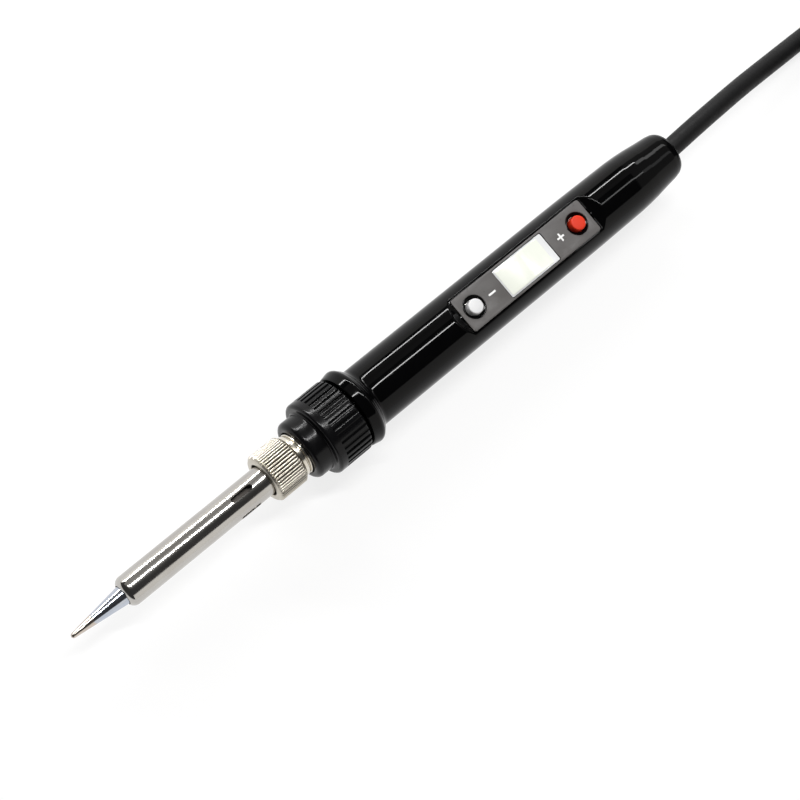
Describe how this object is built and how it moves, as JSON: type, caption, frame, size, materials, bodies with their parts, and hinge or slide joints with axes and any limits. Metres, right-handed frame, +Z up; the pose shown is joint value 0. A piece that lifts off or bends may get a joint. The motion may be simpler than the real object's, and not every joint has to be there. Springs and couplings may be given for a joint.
{
  "type": "soldering iron",
  "caption": "Pencil soldering iron with a conical tip in a slotted barrel, knurled nut, fluted collar, round black handle with display and set buttons, and a corded two-pin plug.",
  "frame": {"origin": "on the surface the iron lies on, under the middle of the iron's length, measured without its cord", "axes": "+X along the iron's axis from the tip towards the cord, +Z up and out of the display panel"},
  "size_m": [0.431, 0.0447, 0.0365],
  "materials": {
    "tip_plating": "bright iron-chrome plating, slightly blue, with a warmer tinned front",
    "steel_tube": "polished stainless steel",
    "nickel": "warm nickel plating",
    "ceramic": "matt alumina ceramic",
    "satin_black": "satin moulded black plastic",
    "gloss_black": "high-gloss moulded black plastic",
    "grey_panel": "satin mid-grey plastic",
    "display": "pale reflective display under clear glass",
    "white_plastic": "satin white plastic",
    "red_plastic": "satin orange-red plastic",
    "board": "green solder mask",
    "component": "black moulded component body",
    "film": "amber dipped capacitor",
    "grey_rubber": "layered conductive rubber",
    "black_rubber": "matt black rubber and soft PVC",
    "wire_brown": "brown insulated wire",
    "wire_white": "white glass-fibre insulation",
    "wire_blue": "blue insulated wire"
  },
  "bodies": {
    "handle": {"threaded_ferrule": "nickel", "ceramic_heater": "ceramic", "heater_base": "ceramic", "lead_sleeve": "wire_white", "heater_lead_1": "wire_brown", "heater_lead_2": "wire_brown", "heater_lead_3": "wire_white", "heater_lead_4": "wire_white", "fluted_collar": "satin_black", "handle_shell": "gloss_black", "panel_plate": "grey_panel", "strain_relief": "black_rubber", "cord_clamp": "white_plastic", "inner_cord": "black_rubber", "lcd_glass": "display", "lcd_backlight": "white_plastic", "lcd_contact_strip_left": "grey_rubber", "lcd_contact_strip_right": "grey_rubber", "control_board": "board", "switch_body_minus": "component", "switch_cover_minus": "steel_tube", "contact_dome_minus": "steel_tube", "switch_body_plus": "component", "switch_cover_plus": "steel_tube", "contact_dome_plus": "steel_tube", "mcu_chip": "component", "triac": "component", "film_capacitor": "film", "electrolytic_capacitor": "component", "mains_fuse": "ceramic", "supply_lead_live": "wire_brown", "supply_lead_neutral": "wire_blue", "cord_lead_in": "black_rubber", "cord_hank": "black_rubber", "cord_end": "black_rubber", "hank_tie": "black_rubber", "plug_boot": "black_rubber", "plug_body": "black_rubber", "plug_pin_left": "nickel", "plug_pin_right": "nickel"},
    "barrel_and_tip": {"barrel": "steel_tube", "soldering_tip": "tip_plating"},
    "nut": {"knurled_nut": "nickel"},
    "minus_button": {"button_minus": "white_plastic"},
    "plus_button": {"button_plus": "red_plastic"}
  },
  "joints": [
    {"name": "barrel_advance", "type": "slide", "parent": "handle", "child": "barrel_and_tip", "axis": [-1, 0, 0], "range_m": [0, 0.006]},
    {"name": "nut_turn", "type": "hinge", "parent": "barrel_and_tip", "child": "nut", "pos_m": [-0.0364, 0, 0.01065], "axis": [-1, 0, 0], "range_deg": [0, 2160]},
    {"name": "button_minus_press", "type": "slide", "parent": "handle", "child": "minus_button", "axis": [0, 0, -1], "range_m": [0, 0.00025], "stiffness_N_per_m": 4000},
    {"name": "button_plus_press", "type": "slide", "parent": "handle", "child": "plus_button", "axis": [0, 0, -1], "range_m": [0, 0.00025], "stiffness_N_per_m": 4000}
  ],
  "couplings": [
    {"joint": "nut_turn", "follows": "barrel_advance", "rad_per_m": 6283.2}
  ]
}
